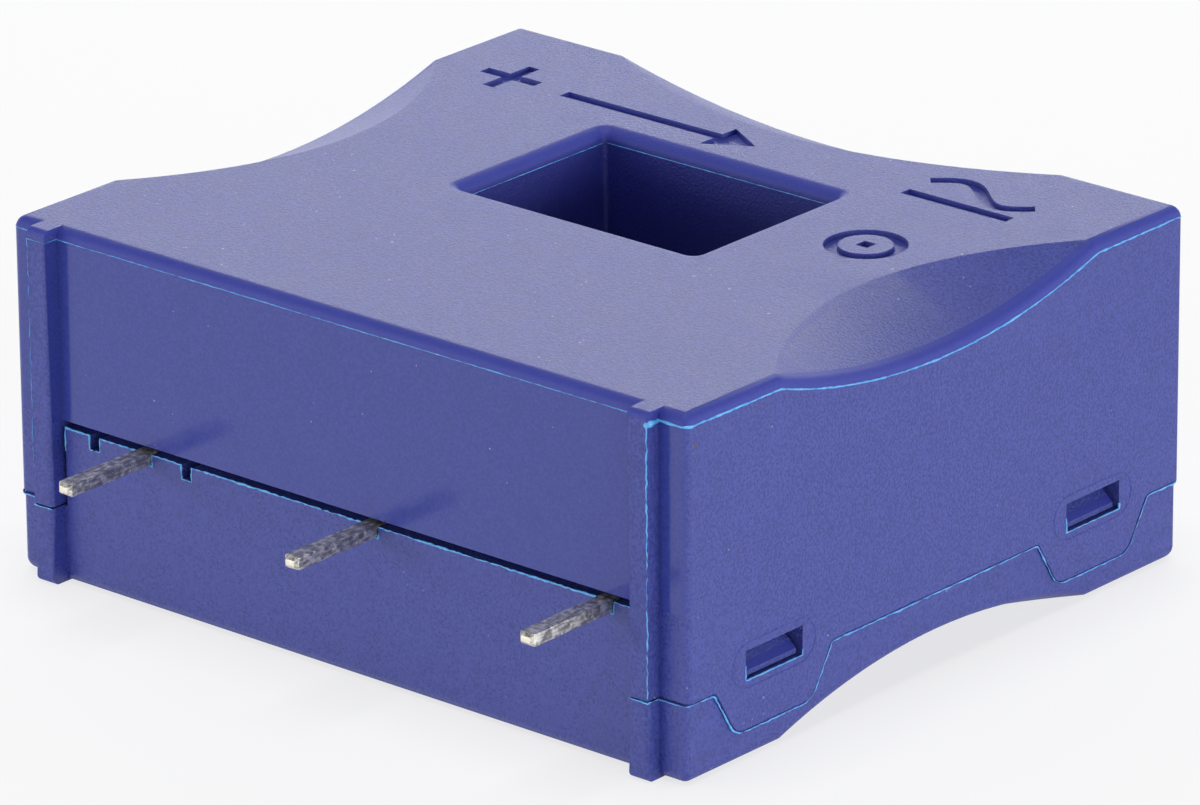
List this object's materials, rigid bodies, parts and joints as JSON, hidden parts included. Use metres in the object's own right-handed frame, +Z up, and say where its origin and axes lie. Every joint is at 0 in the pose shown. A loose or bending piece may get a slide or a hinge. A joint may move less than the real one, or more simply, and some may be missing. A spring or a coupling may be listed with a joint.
{
  "type": "hall effect current sensor",
  "caption": "Board-mounted closed-loop current sensor: a blue snap-together housing with a rectangular window for the conductor, square terminal pins and stand-off ribs.",
  "frame": {"origin": "middle of the footprint, pins included, on the surface that the sensor lies on", "axes": "X along the pin side, Y from the pin side to the back, Z up through the window"},
  "size_m": [0.05, 0.0502, 0.0215],
  "materials": {
    "housing": "fine spark-eroded texture, semi-matt blue glass-filled nylon",
    "pin_tin": "dull hot-dipped tin, slightly mottled",
    "board_laminate": "green solder mask on glass laminate",
    "solder": "bright reflowed solder",
    "core_sheet": "annealed nickel-iron sheet, dull grey",
    "former": "black glass-filled moulding",
    "copper_winding": "enamelled copper wire, glossy",
    "tape": "amber polyester tape",
    "chip_black": "black epoxy moulding compound",
    "lead_tin": "matt tin plating",
    "can": "bare aluminium can",
    "ceramic_body": "sintered ceramic with tinned ends"
  },
  "bodies": {
    "root": {"case": "housing", "lid": "housing", "pin_left": "pin_tin", "pin_middle": "pin_tin", "pin_right": "pin_tin", "circuit_board": "board_laminate", "solder_joints": "solder", "core_laminations": "core_sheet", "yoke_left": "core_sheet", "yoke_right": "core_sheet", "bobbin_left": "former", "bobbin_right": "former", "winding_left": "copper_winding", "winding_right": "copper_winding", "tape_left": "tape", "tape_right": "tape", "coil_posts": "lead_tin", "coil_leads": "copper_winding", "hall_element": "chip_black", "hall_leads": "lead_tin", "hall_holder": "former", "amplifier_chip": "chip_black", "amplifier_legs": "lead_tin", "transistor_left": "chip_black", "transistor_right": "chip_black", "transistor_legs": "lead_tin", "supply_capacitors": "can", "clamp_diodes": "chip_black", "chip_resistors": "ceramic_body", "chip_capacitors": "ceramic_body"}
  },
  "joints": []
}
